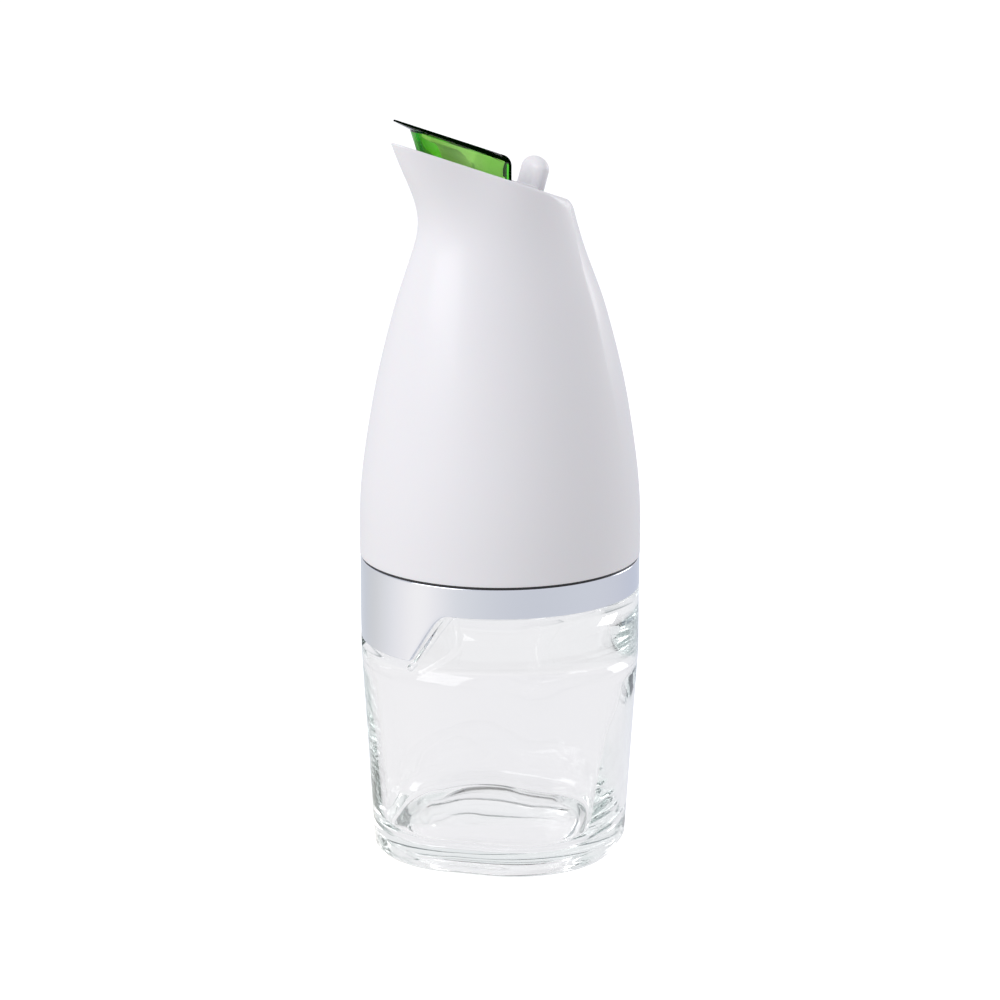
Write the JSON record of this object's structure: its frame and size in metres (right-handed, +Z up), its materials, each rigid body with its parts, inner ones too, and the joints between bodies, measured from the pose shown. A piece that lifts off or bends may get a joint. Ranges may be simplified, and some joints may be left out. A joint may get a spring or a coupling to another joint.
{
  "type": "cruet",
  "caption": "Oil or vinegar cruet: clear glass bottle, chromed collar, tall white pull-off head with a slanted spout and a sprung green lid worked by the thumb.",
  "frame": {"origin": "centre of the foot, on the table plane", "axes": "+Z up along the bottle's axis; the spout and the collar's tab point to -Y; the hinge runs along X"},
  "size_m": [0.0726, 0.0725, 0.1938],
  "materials": {
    "clear_glass": "polished, clear",
    "chrome": "bright plated",
    "white_plastic": "gloss",
    "dark_plastic": "matte",
    "liner_plastic": "satin",
    "silicone": "soft, translucent white",
    "steel": "bright drawn",
    "green_plastic": "gloss, tinted and see-through"
  },
  "bodies": {
    "bottle": {"glass_bottle": "clear_glass"},
    "head": {"collar_ring": "chrome", "head_shell": "white_plastic", "neck_insert": "dark_plastic", "bottle_seal": "silicone", "rim_gasket": "silicone", "pour_liner": "liner_plastic", "liner_seal": "silicone", "mouth_deck": "white_plastic", "deck_gasket": "silicone", "deck_screws": "steel", "hinge_pin": "steel", "return_spring": "steel"},
    "lid": {"thumb_lever": "white_plastic", "lid_cap": "green_plastic", "lid_seal": "silicone", "lid_screws": "steel"}
  },
  "joints": [
    {"name": "head_lift", "type": "slide", "parent": "bottle", "child": "head", "axis": [0, 0, 1], "range_m": [0, 0.05]},
    {"name": "lid_hinge", "type": "hinge", "parent": "head", "child": "lid", "pos_m": [0, 0.00442, 0.17121], "axis": [-1, 0, 0], "range_deg": [0, 48], "stiffness_Nm_per_rad": 0.011, "springref_deg": -28.65, "deforming": ["return_spring"]}
  ]
}
